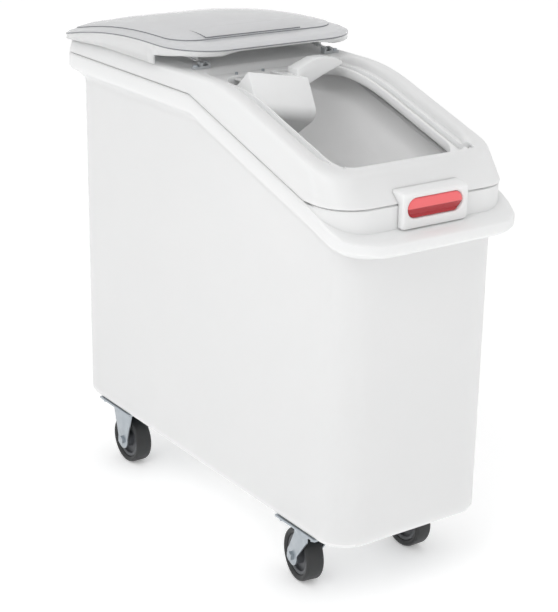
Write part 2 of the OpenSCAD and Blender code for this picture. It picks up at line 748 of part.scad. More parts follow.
module at_rear(s) translate([s * caster_x, rear_axle_y, 0]) children();
module at_front_plate(s) translate([s * caster_x, kingpin_y, 0]) children();
module at_front(s) translate([s * caster_x, kingpin_y, 0]) rotate(s < 0 ? left_steer : 0) children();

tub();
hinge_pin(-1);  // hinge_pin_left
hinge_pin(1);  // hinge_pin_right
top_frame();
glide_block(-1);  // glide_block_left
glide_block(1);  // glide_block_right
scoop_rack();
frame_screws();
lid();
latch();
latch_pin();
latch_spring();
scoop();
at_rear(-1) rear_rig();  // rear_left_rig
at_rear(-1) tyre(0);  // rear_left_tyre
at_rear(-1) wheel(0);  // rear_left_wheel
at_rear(-1) bearing(0);  // rear_left_bearing
at_rear(-1) bolt(0);  // rear_left_bolt
at_rear(-1) nut(0);  // rear_left_nut
at_rear(-1) caster_screws(0);  // rear_left_screws
at_rear(1) rear_rig();  // rear_right_rig
at_rear(1) tyre(0);  // rear_right_tyre
at_rear(1) wheel(0);  // rear_right_wheel
at_rear(1) bearing(0);  // rear_right_bearing
at_rear(1) bolt(0);  // rear_right_bolt
at_rear(1) nut(0);  // rear_right_nut
at_rear(1) caster_screws(0);  // rear_right_screws
at_front_plate(-1) front_plate();  // front_left_plate
at_front(-1) balls();  // front_left_balls
at_front_plate(-1) kingpin();  // front_left_kingpin
at_front(-1) fork();  // front_left_fork
at_front(-1) tyre(trail);  // front_left_tyre
at_front(-1) wheel(trail);  // front_left_wheel
at_front(-1) bearing(trail);  // front_left_bearing
at_front(-1) bolt(trail);  // front_left_bolt
at_front(-1) nut(trail);  // front_left_nut
at_front_plate(-1) caster_screws(0);  // front_left_screws
at_front_plate(1) front_plate();  // front_right_plate
at_front(1) balls();  // front_right_balls
at_front_plate(1) kingpin();  // front_right_kingpin
at_front(1) fork();  // front_right_fork
at_front(1) tyre(trail);  // front_right_tyre
at_front(1) wheel(trail);  // front_right_wheel
at_front(1) bearing(trail);  // front_right_bearing
at_front(1) bolt(trail);  // front_right_bolt
at_front(1) nut(trail);  // front_right_nut
at_front_plate(1) caster_screws(0);  // front_right_screws
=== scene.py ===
import bmesh
import bpy
from math import atan2, cos, pi, radians, sin, sqrt, tan
from mathutils import Matrix, Vector


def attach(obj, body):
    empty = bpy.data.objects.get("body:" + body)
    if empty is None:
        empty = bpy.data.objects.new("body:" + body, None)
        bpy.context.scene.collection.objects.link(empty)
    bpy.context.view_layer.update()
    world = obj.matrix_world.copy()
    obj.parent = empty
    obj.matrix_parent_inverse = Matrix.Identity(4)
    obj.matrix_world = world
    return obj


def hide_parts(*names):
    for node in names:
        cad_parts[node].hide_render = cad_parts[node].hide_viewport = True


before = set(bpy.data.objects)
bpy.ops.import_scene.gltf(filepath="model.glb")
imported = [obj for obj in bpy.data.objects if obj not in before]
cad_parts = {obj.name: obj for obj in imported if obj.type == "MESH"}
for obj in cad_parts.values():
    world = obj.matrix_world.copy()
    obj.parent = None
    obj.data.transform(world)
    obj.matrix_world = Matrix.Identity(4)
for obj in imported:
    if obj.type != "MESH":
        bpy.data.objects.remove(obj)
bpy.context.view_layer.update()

# ---- Where the viewer stands ----
# The eye is over the bin and off its left front corner, with a long lens.
# Azimuth is from the bin's own front and elevation from level; the camera is tipped by a degree.
view_azimuth = radians(-35.25)
view_elevation = radians(19.91)
view_roll = radians(1.0)
view_distance = 2.384
looked_at = Vector((0.0, -0.0125, 0.32355))
back = Vector((sin(view_azimuth) * cos(view_elevation), -cos(view_azimuth) * cos(view_elevation),
               sin(view_elevation)))
level_right = Vector((cos(view_azimuth), sin(view_azimuth), 0.0))
level_up = back.cross(level_right)
right = cos(view_roll) * level_right + sin(view_roll) * level_up
up = back.cross(right)
camera_data = bpy.data.cameras.new("camera")
camera_data.sensor_width = 36.0
camera_data.lens = 96.73
camera_data.clip_end = 50.0
camera = bpy.data.objects.new("camera", camera_data)
turn = Matrix((right, up, back)).transposed().to_4x4()
camera.matrix_world = Matrix.Translation(looked_at + back * view_distance) @ turn
bpy.context.scene.collection.objects.link(camera)
bpy.context.scene.camera = camera

# ---- Studio floor and light ----
# White paper under the bin, one large soft lamp over the viewer's left shoulder,
# a weaker one from the right, and a bright room all round.
floor_half_size = 14.0
# name, place, width in metres, watts
lamps = (("key_lamp", (-2.6, -1.6, 3.4), 2.4, 34.0), ("fill_lamp", (2.2, -2.8, 1.8), 2.4, 1.5))
lit_point = Vector((0, 0, 0.35))


def linear(code):
    """An sRGB hex colour as linear red, green, blue and a full alpha."""
    parts = [int(code[i:i + 2], 16) / 255 for i in (1, 3, 5)]
    return tuple(p / 12.92 if p <= 0.04045 else ((p + 0.055) / 1.055) ** 2.4 for p in parts) + (1.0,)


def add_node(tree, kind, settings=(), links=()):
    """One node with its settings, by property or by a socket's name or number, and its links.

    The colours of a Mix node are its sockets 6 and 7."""
    node = tree.nodes.new(kind)
    for name, value in settings:
        if isinstance(name, str) and hasattr(node, name):
            setattr(node, name, value)
        else:
            node.inputs[name].default_value = value
    for name, socket in links:
        tree.links.new(socket, node.inputs[name])
    return node


def new_finish(name):
    """A material that has no nodes yet, and its node tree."""
    material = bpy.data.materials.new(name)
    material.use_nodes = True
    material.node_tree.nodes.clear()
    return material, material.node_tree


# Photographer's backlit table, matt and white: it keeps only a faint shadow.
paper, tree = new_finish("paper_matt")
shader = add_node(tree, "ShaderNodeBsdfPrincipled",
                  [("Base Color", linear("#FCFCFC")), ("Roughness", 0.9),
                   ("Emission Color", linear("#FFFFFF")), ("Emission Strength", 0.24)])
add_node(tree, "ShaderNodeOutputMaterial", [], [("Surface", shader.outputs[0])])

floor_mesh = bmesh.new()
bmesh.ops.create_grid(floor_mesh, x_segments=1, y_segments=1, size=floor_half_size)
floor_data = bpy.data.meshes.new("floor")
floor_mesh.to_mesh(floor_data)
floor_mesh.free()
floor_data.materials.append(paper)
floor = bpy.data.objects.new("floor", floor_data)
bpy.context.scene.collection.objects.link(floor)

for name, place, size, watts in lamps:
    lamp_data = bpy.data.lights.new(name, "AREA")
    lamp_data.shape = "DISK"
    lamp_data.size = size
    lamp_data.energy = watts
    lamp = bpy.data.objects.new(name, lamp_data)
    lamp.location = place
    lamp.rotation_euler = (Vector(place) - lit_point).to_track_quat("Z", "Y").to_euler()
    bpy.context.scene.collection.objects.link(lamp)
room = bpy.data.worlds.new("room")
room.use_nodes = True
room_light = room.node_tree.nodes["Background"]
room_light.inputs["Color"].default_value = linear("#FFFFFF")
room_light.inputs["Strength"].default_value = 0.78
bpy.context.scene.world = room
bpy.context.scene.view_settings.view_transform = "Standard"

# ---- Tub ----
# One deep box of white polyethylene, moulded in one shot with its outward rim, the bumper that
# the rim widens into at the front, and the upright coaming that the top frame sits on.
tub_w = 128.0
tub_front = -334.0
tub_rear = 352.5
tub_r = 43.0
tub_wall = 3.5
tub_base = 100.0
rim_w = 145.0
rim_rear = 367.5
bumper_front = -374.5
slope_angle = radians(17.33)
slope = tan(slope_angle)
seam_z = 648.5
seam_bend = 2.2
coaming_z = 565.5
coaming_y = seam_bend - (seam_z - coaming_z) / slope
shelf_y = -337.5
shelf_drop = 31.5
bumper_drop = 36.0
rim_h = 25.0
bumper_thinning = 7.0
thinning_l = 90.0
inner_w = tub_w - tub_wall
inner_front = tub_front + tub_wall
inner_rear = tub_rear - tub_wall
inner_r = tub_r - tub_wall


def level(y):
    """No line at all: the ring stays level, at its own height."""
    return 0.0


def seam_line(y):
    """The seam between tub and top frame: level, down the slope, level again at the front."""
    if y > seam_bend:
        return seam_z
    return max(seam_z - (seam_bend - y) * slope, coaming_z)


def rim_line(y):
    """The top of the rim: the seam, and past the coaming the fall to the bumper's shelf."""
    if y > coaming_y:
        return seam_line(y)
    if y > shelf_y:
        return coaming_z - shelf_drop * (coaming_y - y) / (coaming_y - shelf_y)
    return coaming_z - shelf_drop - (bumper_drop - shelf_drop) * (shelf_y - y) / (shelf_y - bumper_front)


def rim_low(y):
    """The lower edge of the rim, which is thinner along the bumper."""
    return rim_line(y) - rim_h + bumper_thinning * min(1.0, max(0.0, coaming_y - y) / thinning_l)


def ring(bm, half_w, front, rear, r_front, r_rear, drop, line):
    """A closed outline with rounded corners, drop above or below a line.

    It is drawn level at z = drop, and its vertices are marked with the line that they will be
    lifted to. Returns its edges in order, from the middle of the front and all the way round."""
    before = set(bm.edges)
    corners = bmesh.ops.create_grid(bm, x_segments=1, y_segments=1, size=1.0)["verts"]
    bmesh.ops.scale(bm, vec=(half_w, (rear - front) / 2, 1), verts=corners)
    bmesh.ops.translate(bm, vec=(0, (rear + front) / 2, drop), verts=corners)
    for radius, some in ((r_front, [v for v in corners if v.co.y < (rear + front) / 2]),
                         (r_rear, [v for v in corners if v.co.y > (rear + front) / 2])):
        bmesh.ops.bevel(bm, geom=some, offset=radius, offset_type="OFFSET", segments=12, profile=0.5,
                        affect="VERTICES", material=-1)
    edges = [e for e in bm.edges if e not in before]
    faces = {f for e in edges for f in e.link_faces}
    bmesh.ops.delete(bm, geom=list(faces), context="FACES_ONLY")
    weight = bm.verts.layers.float.get(line.__name__) or bm.verts.layers.float.new(line.__name__)
    for v in {v for e in edges for v in e.verts}:
        v[weight] = 1.0
    middle = (front + rear) / 2

    def turn_of(edge):
        """How far round the outline an edge lies, as an angle from 0 to a full turn."""
        a, b = (v.co for v in edge.verts)
        return (atan2(a.x + b.x, middle * 2 - a.y - b.y) + 2 * pi + 1e-3) % (2 * pi)

    return sorted(edges, key=turn_of)


def moulding(rings, lines, cuts, closed=True, capped=()):
    """A moulded skin through several rings. Each is drawn flat and then lifted to its line.

    closed joins the last ring to the first; capped names the rings that get a flat face.
    cuts are the places along the bin where the skin needs vertices to follow the lines."""
    bm = bmesh.new()
    for line in lines:
        bm.verts.layers.float.new(line.__name__)
    loops = [ring(bm, *one) for one in rings]
    for index in capped:
        bmesh.ops.contextual_create(bm, geom=loops[index])
    pairs = list(zip(loops, loops[1:])) + ([(loops[-1], loops[0])] if closed else [])
    for one, other in pairs:
        for edge, next_edge in zip(one, other):
            bmesh.ops.contextual_create(bm, geom=[edge, next_edge])
    for y in cuts:
        bmesh.ops.bisect_plane(bm, geom=bm.verts[:] + bm.edges[:] + bm.faces[:], dist=1e-4,
                               plane_co=(0, y, 0), plane_no=(0, 1, 0))
    weights = [(line, bm.verts.layers.float[line.__name__]) for line in lines]
    for v in bm.verts:
        v.co.z += sum(v[weight] * line(v.co.y) for line, weight in weights)
    bmesh.ops.remove_doubles(bm, verts=bm.verts, dist=0.02)
    bmesh.ops.dissolve_degenerate(bm, dist=0.01, edges=bm.edges)
    bmesh.ops.recalc_face_normals(bm, faces=bm.faces)
    return bm


def make_piece(name, bm, material, body, nodes=(), sharp=32.0):
    """Scales a mesh from millimetres, makes it a piece of the bin, and hides the CAD nodes it stands for."""
    bmesh.ops.scale(bm, vec=(0.001, 0.001, 0.001), verts=bm.verts)
    for face in bm.faces:
        face.smooth = True
    mesh = bpy.data.meshes.new(name)
    bm.to_mesh(mesh)
    bm.free()
    mesh.set_sharp_from_angle(angle=radians(sharp))
    mesh.materials.append(material)
    piece = bpy.data.objects.new(name, mesh)
    bpy.context.scene.collection.objects.link(piece)
    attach(piece, body)
    if nodes:
        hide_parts(*nodes)
    return piece


# Polyethylene, injection moulded in a fine-sparked mould: satin, with a soft wide highlight, a very
# light orange-peel (about 14 mm) from shrinkage and faint, wide clouds in its tone (170 mm). The
# spark grain is drawn 1 mm wide, coarser than a mould's, so that it shows. On the tub's inside the
# same resin is painted paler, as painted light, and light runs further in the wall.
polyethylenes = []
for name, one_tone, other_tone, light_run in (
        ("polyethylene_satin_moulded", "#EDEDED", "#E9EAEA", 0.008),
        ("polyethylene_inside_painted_light", "#FBFBFB", "#F8F8F8", 0.016)):
    polyethylene, tree = new_finish(name)
    place = add_node(tree, "ShaderNodeTexCoord").outputs["Object"]
    cloud = add_node(tree, "ShaderNodeTexNoise", [("Scale", 6.0), ("Detail", 2.0)], [("Vector", place)])
    tone = add_node(tree, "ShaderNodeMix",
                    [("data_type", "RGBA"), (6, linear(one_tone)), (7, linear(other_tone))],
                    [("Factor", cloud.outputs["Fac"])])
    grain = add_node(tree, "ShaderNodeTexNoise", [("Scale", 900.0), ("Detail", 3.0)], [("Vector", place)])
    peel = add_node(tree, "ShaderNodeTexNoise", [("Scale", 70.0), ("Detail", 1.0)], [("Vector", place)])
    gloss = add_node(tree, "ShaderNodeMapRange", [("To Min", 0.36), ("To Max", 0.46)],
                     [("Value", cloud.outputs["Fac"])])
    fine_bump = add_node(tree, "ShaderNodeBump", [("Strength", 0.08), ("Distance", 0.0001)],
                         [("Height", grain.outputs["Fac"])])
    soft_bump = add_node(tree, "ShaderNodeBump", [("Strength", 0.06), ("Distance", 0.0006)],
                         [("Height", peel.outputs["Fac"]), ("Normal", fine_bump.outputs["Normal"])])
    shader = add_node(tree, "ShaderNodeBsdfPrincipled", [("IOR", 1.5), ("Subsurface Weight", 1.0),
                      ("Subsurface Scale", 1.0), ("Subsurface Radius", (light_run, light_run, light_run))],
                      [("Base Color", tone.outputs["Result"]), ("Roughness", gloss.outputs["Result"]),
                       ("Normal", soft_bump.outputs["Normal"])])
    add_node(tree, "ShaderNodeOutputMaterial", [], [("Surface", shader.outputs[0])])
    polyethylenes.append(polyethylene)
polyethylene, inside_resin_painted_light = polyethylenes

# half width, front, rear, corner radius in front and at the rear, height over a line, and the line
tub_rings = [
    (tub_w - 9, tub_front + 9, tub_rear - 9, tub_r - 9, tub_r - 9, tub_base, level),
    (tub_w - 3, tub_front + 3, tub_rear - 3, tub_r - 3, tub_r - 3, tub_base + 1.4, level),
    (tub_w, tub_front, tub_rear, tub_r, tub_r, tub_base + 7, level),
    (tub_w, tub_front, tub_rear, tub_r, tub_r, -22, rim_low),
    (tub_w, tub_front, tub_rear, tub_r, tub_r, -16, rim_low),
    (tub_w + 1.5, tub_front - 2.5, tub_rear + 1.5, tub_r, tub_r - 1, -11.5, rim_low),
    (tub_w + 5, tub_front - 9, tub_rear + 5, tub_r, tub_r - 3, -7, rim_low),
    (rim_w - 7, bumper_front + 16, rim_rear - 7, 55, 40, -2.5, rim_low),
    (rim_w - 2.5, bumper_front + 5, rim_rear - 2.5, 60, 38, 0, rim_low),
    (rim_w, bumper_front, rim_rear, 62, 38, 5, rim_low),
    (rim_w, bumper_front, rim_rear, 62, 38, -4.5, rim_line),
    (rim_w - 0.5, bumper_front + 1.6, rim_rear - 0.5, 61.5, 38, -1.6, rim_line),
    (rim_w - 1.4, bumper_front + 5, rim_rear - 1.2, 61, 38, 0, rim_line),
    (rim_w - 2.2, tub_front - 7, rim_rear - 1.8, 54, 38, 0, rim_line),
    (rim_w - 2.6, tub_front - 3.5, rim_rear - 2.2, 52, 38, 0.5, rim_line),
    (rim_w - 3, tub_front - 3.5, rim_rear - 2.6, 52, 38, -2.0, seam_line),
    (rim_w - 3.4, tub_front - 3.1, rim_rear - 3.0, 51.6, 37.6, -1.2, seam_line),
    (rim_w - 6, tub_front - 0.5, rim_rear - 5.6, 49, 35, -1.1, seam_line),
    (rim_w - 6.3, tub_front - 0.2, rim_rear - 5.9, 48.7, 34.7, -0.05, seam_line),
    (inner_w + 2, inner_front - 2, inner_rear + 2, inner_r, inner_r, -0.05, seam_line),
    (inner_w, inner_front, inner_rear, inner_r, inner_r, -2.5, seam_line),
    (inner_w, inner_front, inner_rear, inner_r, inner_r, tub_base + 12, level),
    (inner_w - 3, inner_front + 3, inner_rear - 3, inner_r - 3, inner_r - 3, tub_base + 5.5, level),
    (inner_w - 9, inner_front + 9, inner_rear - 9, inner_r - 9, inner_r - 9, tub_base + 4.0, level)]
seam_cuts = [seam_bend, coaming_y, shelf_y, coaming_y - thinning_l]
tub = moulding(tub_rings, (level, seam_line, rim_line, rim_low), seam_cuts, closed=False, capped=(0, -1))


def is_inside(face):
    """Whether a face lies on the inner side of the tub's wall, or on the floor inside it."""
    middle = face.calc_center_median()
    turned_in = face.normal.x * middle.x + face.normal.y * (middle.y - (tub_front + tub_rear) / 2) < -1.0
    skin = 3.0
    within = (middle.z > tub_base + skin and abs(middle.x) < tub_w - skin
              and tub_front + skin < middle.y < tub_rear - skin)
    on_floor = middle.z < tub_base + 6.5
    under_seam = middle.z < seam_line(middle.y) - 2
    return within and (turned_in or on_floor) or turned_in and under_seam


# the inner faces take the paler copy of the resin: painted light
for face in tub.faces:
    face.material_index = int(is_inside(face))
tub_piece = make_piece("tub_moulding", tub, polyethylene, "tub", ["tub"])
tub_piece.data.materials.append(inside_resin_painted_light)

# ---- Top frame ----
# The moulded frame that closes the tub: side rails and a front bar round the sloping mouth, a
# sunk ledge with a groove for each of the lid's ribs, and a flat deck behind. It is hollow below.
frame_w = 144.0
deck_z = 676.0
bend_start = -20.0
bend_radius = 328.0
bend_end = bend_start - bend_radius * sin(slope_angle)
fall_start = 187.0
fall_radius = 1480.0
ledge_depth = 11.0
groove_depth = 18.5
groove_in = 98.0
groove_out = 110.0
groove_front = -291.0
groove_rear = 6.0
bend_steps = 9


def frame_line(y):
    """The top of the rails and the deck: a slope, a rounded bend, level, and a gentle fall."""
    if y > fall_start:
        return deck_z - (y - fall_start) ** 2 / (2 * fall_radius)
    if y > bend_start:
        return deck_z
    run = min(bend_start - y, bend_start - bend_end)
    return deck_z - bend_radius + sqrt(bend_radius ** 2 - run ** 2) - max(0.0, bend_end - y) * slope


frame_rings = [
    (frame_w - 3.2, -334.3, 364.3, 49, 35, 0.25, seam_line),
    (frame_w - 2.9, -334.6, 364.6, 49.3, 35.3, 1.2, seam_line),
    (frame_w - 0.4, -337.1, 367.1, 51.6, 37.6, 1.3, seam_line),
    (frame_w, -337.5, 367.5, 52, 38, 2.2, seam_line),
    (140.9, -310.6, 366.6, 41, 37.7, -5.6, frame_line),
    (140.5, -309.2, 366.3, 40.5, 37.5, -4.2, frame_line),
    (139.7, -307.8, 365.4, 40, 37.2, -2.9, frame_line),
    (138.0, -306.0, 363.8, 39.5, 36.5, -1.6, frame_line),
    (135.0, -303.0, 361.5, 39, 35, -0.4, frame_line),
    (131.0, -299.0, 357.5, 39, 33, 0.0, frame_line),
    (122.0, -292.0, 27.0, 40, 44, 0.0, frame_line),
    (119.6, -290.4, 24.6, 41.5, 42.5, -0.9, frame_line),
    (117.6, -289.2, 22.8, 41.5, 41, -3.0, frame_line),
    (116.4, -288.4, 21.6, 41.5, 40, -6.6, frame_line),
    (115.4, -287.6, 20.6, 41.5, 39, -9.8, frame_line),
    (113.4, -286.4, 18.6, 41, 37.5, -ledge_depth, frame_line),
    (97.2, -285.0, 9.7, 40, 38, -ledge_depth, frame_line),
    (95.7, -284.0, 8.2, 39, 36.6, -ledge_depth - 0.6, frame_line),
    (95.0, -283.0, 7.5, 38, 36, -ledge_depth - 2.2, frame_line),
    (95.0, -283.0, 7.5, 38, 36, -23.2, frame_line),
    (96.5, -284.5, 9.0, 39.5, 37.5, -24.5, frame_line),
    (98.0, -286.0, 10.5, 41, 39, -23.2, frame_line),
    (98.4, -286.4, 10.9, 41, 39, -21.4, frame_line),
    (113.0, -292.5, 23.0, 43, 41, -21.4, frame_line),
    (118.6, -294.5, 24.0, 44, 42, -14.4, frame_line),
    (120.6, -296.0, 26.0, 44, 44, -3.8, frame_line),
    (134.0, -303.0, 358.0, 44, 33, -5.0, frame_line),
    (138.5, -331.5, 362.0, 46, 33, 0.25, seam_line)]
bend_cuts = [seam_bend, coaming_y, bend_start, fall_start]
bend_cuts += [bend_start + (bend_end - bend_start) * i / bend_steps for i in range(1, bend_steps + 1)]
bend_cuts += [fall_start + 26 * i for i in range(1, 7)]
top_frame = moulding(frame_rings, (seam_line, frame_line), bend_cuts)


def cut_patch(bm, picks, low, high):
    """Cuts a patch between two corners in plan out of the faces that picks says yes to.

    Walls join it to the rest all round. Returns the patch's vertices, to be moved up or down."""
    for point, normal in (((low[0], 0, 0), (1, 0, 0)), ((high[0], 0, 0), (1, 0, 0)),
                          ((0, low[1], 0), (0, 1, 0)), ((0, high[1], 0), (0, 1, 0))):
        around = [f for f in bm.faces if picks(f)]
        bmesh.ops.bisect_plane(bm, geom=around + list({e for f in around for e in f.edges})
                               + list({v for f in around for v in f.verts}),
                               dist=1e-4, plane_co=point, plane_no=normal)
    inside = [f for f in bm.faces if picks(f) and low[0] < f.calc_center_median().x < high[0]
              and low[1] < f.calc_center_median().y < high[1]]
    grown = bmesh.ops.extrude_face_region(bm, geom=inside)
    bmesh.ops.delete(bm, geom=inside, context="FACES")
    return [v for v in grown["geom"] if isinstance(v, bmesh.types.BMVert)]


def on_top(face):
    """Whether a face is on the upper side of a rail or of the ledge beside it."""
    middle = face.calc_center_median()
    return face.normal.z > 0.05 and middle.z > frame_line(middle.y) - ledge_depth - 0.8 and abs(middle.x) > 90


# a groove down each side for the lid's rib
for low_x, high_x in ((-groove_out, -groove_in), (groove_in, groove_out)):
    for v in cut_patch(top_frame, on_top, (low_x, groove_front), (high_x, groove_rear)):
        v.co.z = frame_line(v.co.y) - groove_depth
make_piece("top_frame_moulding", top_frame, polyethylene, "top_frame", ["top_frame"])

# ---- Lid ----
# A shell of grey-tinted polycarbonate, moulded clear and polished: a skirt that hooks over the
# rails at the rear half, a raised crowned panel and a finger grip at the panel's front.
lid_w = 152.0
lid_front = -4.0
lid_rear = 372.0
lid_edge_z = 706.4
lid_sheet = 2.4
window_w = 63.0
window_top = 5.6
notch_w = 92.0
notch_top = 8.0
gap_edges = (-113.0, -95.0, 95.0, 113.0)
grip_left = -91.0
grip_right = 67.0
grip_front = 42.5
grip_rear = 86.0
grip_h = 1.8
nose_y = 60.0
nose_radius = 2048.0
arch_y = 100.0
arch_l = 196.0
arch_radius = 1018.0
tail_fall = 0.1925
skirt_front_h = 10.2
skirt_rear_h = 29.4
skirt_step_y = 82.0
skirt_fall_y = 225.0
brim_h = 3.0
undercut_h = 3.7
crown_rise = 2.0
crown_y = 130.0
crown_l = 166.0


def lid_line(y):
    """The upper edge of the skirt: nearly level in front, arched down and then straight to the rear."""
    arch = min(arch_l, max(0.0, y - arch_y)) ** 2 / (2 * arch_radius)
    nose = max(0.0, nose_y - y) ** 2 / (2 * nose_radius)
    return lid_edge_z - (arch + nose) - max(0.0, y - (arch_y + arch_l)) * tail_fall


def skirt_line(y):
    """The lower edge of the skirt, shallow in front and deep behind the step."""
    if y < skirt_step_y:
        return lid_edge_z - skirt_front_h - max(0.0, y - 26.0) * 0.12
    return lid_edge_z - skirt_rear_h - max(0.0, y - skirt_fall_y) * 0.06


def crown_line(y):
    """The crown over the brim, which keeps its height longer than the edge towards the rear."""
    return lid_line(y) + crown_rise * min(1.0, max(0.0, (y - crown_y) / crown_l))


lid_rings = [
    (lid_w - 0.6, lid_front + 0.6, lid_rear - 0.6, 67.4, 49.4, 0.0, skirt_line),
    (lid_w - 0.9, lid_front + 0.9, lid_rear - 0.9, 67.1, 49.1, -3.6, lid_line),
    (lid_w - 0.1, lid_front + 0.1, lid_rear - 0.1, 67.9, 49.9, -2.7, lid_line),
    (lid_w, lid_front, lid_rear, 68, 50, -2.4, lid_line),
    (lid_w - 0.2, lid_front + 0.2, lid_rear - 0.2, 67.8, 49.8, -1.0, lid_line),
    (lid_w - 1.8, lid_front + 1.8, lid_rear - 1.8, 66.2, 48.2, 0.0, lid_line),
    (lid_w - 8.0, lid_front + 8.0, lid_rear - 5.0, 60, 42, 2.6, lid_line),
    (lid_w - 15.6, lid_front + 44.6, lid_rear - 12.0, 40, 40, 4.6, lid_line),
    (lid_w - 16.0, lid_front + 45.2, lid_rear - 12.6, 39.6, 39.6, 6.0, lid_line),
    (lid_w - 17.2, lid_front + 46.4, lid_rear - 13.8, 38.4, 38.4, 6.6, lid_line),
    (118.0, lid_front + 60, lid_rear - 30, 34, 34, 9.0, crown_line),
    (98.0, lid_front + 72, lid_rear - 48, 32, 34, 10.6, crown_line),
    (74.0, lid_front + 86, lid_rear - 72, 30, 30, 12.6, crown_line),
    (44.0, lid_front + 110, lid_rear - 110, 24, 24, 13.8, crown_line),
    (20.0, lid_front + 134, lid_rear - 150, 14, 14, 14.2, crown_line)]
lid_cuts = [skirt_step_y - 0.1, skirt_step_y + 0.1, skirt_fall_y]
lid_cuts += [arch_y + 30.0 * i for i in range(9)] + [-2.0, 12.0, 28.0, nose_y]
lid = moulding(lid_rings, (skirt_line, lid_line, crown_line), lid_cuts, closed=False, capped=(-1,))


def on_panel(face):
    """Whether a face is on the upper side of the raised panel."""
    middle = face.calc_center_median()
    return face.normal.z > 0.7 and middle.z > lid_line(middle.y) + 3


def on_skirt(face, end, below_brim):
    """Whether a face is on the skirt's front (end -1) or rear (end 1), so far below the brim."""
    brim_z = lid_line(face.verts[0].co.y)
    return end * face.normal.y > 0.9 and face.calc_center_median().z < brim_z - below_brim


# a grip for the fingers, which stands up at its front edge
for v in cut_patch(lid, on_panel, (grip_left, grip_front), (grip_right, grip_rear)):
    v.co.z += grip_h * (grip_rear - v.co.y) / (grip_rear - grip_front)
# the window in the front skirt with the shallower notch on each side of it, and the two gaps in
# the rear skirt that pass over the glide blocks
for end, cuts in ((-1, (-notch_w, -window_w, window_w, notch_w)), (1, gap_edges)):
    for x in cuts:
        skirt = [f for f in lid.faces if on_skirt(f, end, brim_h)]
        bmesh.ops.bisect_plane(lid, geom=skirt + list({e for f in skirt for e in f.edges})
                               + list({v for f in skirt for v in f.verts}),
                               dist=1e-4, plane_co=(x, 0, 0), plane_no=(1, 0, 0))
for v in lid.verts:
    on_lower_edge = v.co.z < lid_edge_z - skirt_front_h + 1
    if on_lower_edge and v.co.y < lid_front + 1 and abs(v.co.x) < notch_w + 0.1:
        v.co.z = lid_edge_z - (window_top if abs(v.co.x) < window_w + 0.1 else notch_top)
gaps = [f for f in lid.faces
        if on_skirt(f, 1, undercut_h) and gap_edges[2] < abs(f.calc_center_median().x) < gap_edges[3]]
bmesh.ops.delete(lid, geom=gaps, context="FACES")
bmesh.ops.recalc_face_normals(lid, faces=lid.faces)
# the upright faces painted dark grey, as painted shade: the brim, the panel's step and the grip's walls
for face in lid.faces:
    middle = face.calc_center_median()
    face.material_index = int(abs(face.normal.z) < 0.5 and middle.z > lid_line(middle.y) - 3.5)

# Polycarbonate, moulded in a polished steel mould with a light grey tint: hard-edged highlights,
# a haze from washing in patches of about 40 mm and a ripple of 70 mm. Its upright faces are painted
# paler than its level ones: painted light and shade by which way a face turns.
polycarbonate, tree = new_finish("polycarbonate_grey_tint_polished")
coordinates = add_node(tree, "ShaderNodeTexCoord")
place = coordinates.outputs["Object"]
haze = add_node(tree, "ShaderNodeTexNoise", [("Scale", 24.0), ("Detail", 6.0)], [("Vector", place)])
rough = add_node(tree, "ShaderNodeMapRange", [("To Min", 0.06), ("To Max", 0.16)],
                 [("Value", haze.outputs["Fac"])])
ripple = add_node(tree, "ShaderNodeTexNoise", [("Scale", 14.0), ("Detail", 0.0)], [("Vector", place)])
bump = add_node(tree, "ShaderNodeBump", [("Strength", 0.1), ("Distance", 0.0008)],
                [("Height", ripple.outputs["Fac"])])
# faces turned up take the darker grey and the rest the paler: painted light and shade
facing = add_node(tree, "ShaderNodeSeparateXYZ", [], [("Vector", coordinates.outputs["Normal"])])
painted_light_by_facing = add_node(tree, "ShaderNodeMapRange", [("From Min", 0.3), ("From Max", 0.6)],
                      [("Value", facing.outputs["Z"])])
tone = add_node(tree, "ShaderNodeMix",
                [("data_type", "RGBA"), (6, linear("#FBFCFC")), (7, linear("#E9EAED"))],
                [("Factor", painted_light_by_facing.outputs["Result"])])
shader = add_node(tree, "ShaderNodeBsdfPrincipled", [("IOR", 1.5), ("Transmission Weight", 0.2),
                  ("Subsurface Weight", 0.6), ("Subsurface Scale", 1.0),
                  ("Subsurface Radius", (0.01, 0.01, 0.01))],
                  [("Base Color", tone.outputs["Result"]), ("Roughness", rough.outputs["Result"]),
                   ("Normal", bump.outputs["Normal"])])
add_node(tree, "ShaderNodeOutputMaterial", [], [("Surface", shader.outputs[0])])
# The same sheet in a dark grey, painted shade for the lines along the brim, the panel's step and the grip's
# walls, with a haze in patches of about 17 mm.
painted_shade_sheet, tree = new_finish("polycarbonate_edge_painted_shade")
place = add_node(tree, "ShaderNodeTexCoord").outputs["Object"]
haze = add_node(tree, "ShaderNodeTexNoise", [("Scale", 60.0), ("Detail", 4.0)], [("Vector", place)])
tone = add_node(tree, "ShaderNodeMix",
                [("data_type", "RGBA"), (6, linear("#8A8C8F")), (7, linear("#7A7C80"))],
                [("Factor", haze.outputs["Fac"])])
shader = add_node(tree, "ShaderNodeBsdfPrincipled", [("IOR", 1.5), ("Roughness", 0.2)],
                  [("Base Color", tone.outputs["Result"])])
add_node(tree, "ShaderNodeOutputMaterial", [], [("Surface", shader.outputs[0])])
lid_piece = make_piece("lid_shell", lid, polycarbonate, "lid", ["lid"])
# the brim, step and grip walls take the dark grey painted shade
lid_piece.data.materials.append(painted_shade_sheet)
wall = lid_piece.modifiers.new("wall", "SOLIDIFY")
wall.thickness = lid_sheet / 1000
wall.offset = -1.0

# the two ribs that the lid runs on: a web under the sheet with a wider foot, curved about one line
rib_x = 104.0
rib_l = 320.0
rib_middle_y = 204.0
rib_r = 1095.5
pole_y = 165.0
pole_z = -406.0
foot_w = 8.0
foot_h = 2.0
web_w = 3.0
rib_step = 14.0
rib_cut_y = 28.0
ribs = bmesh.new()
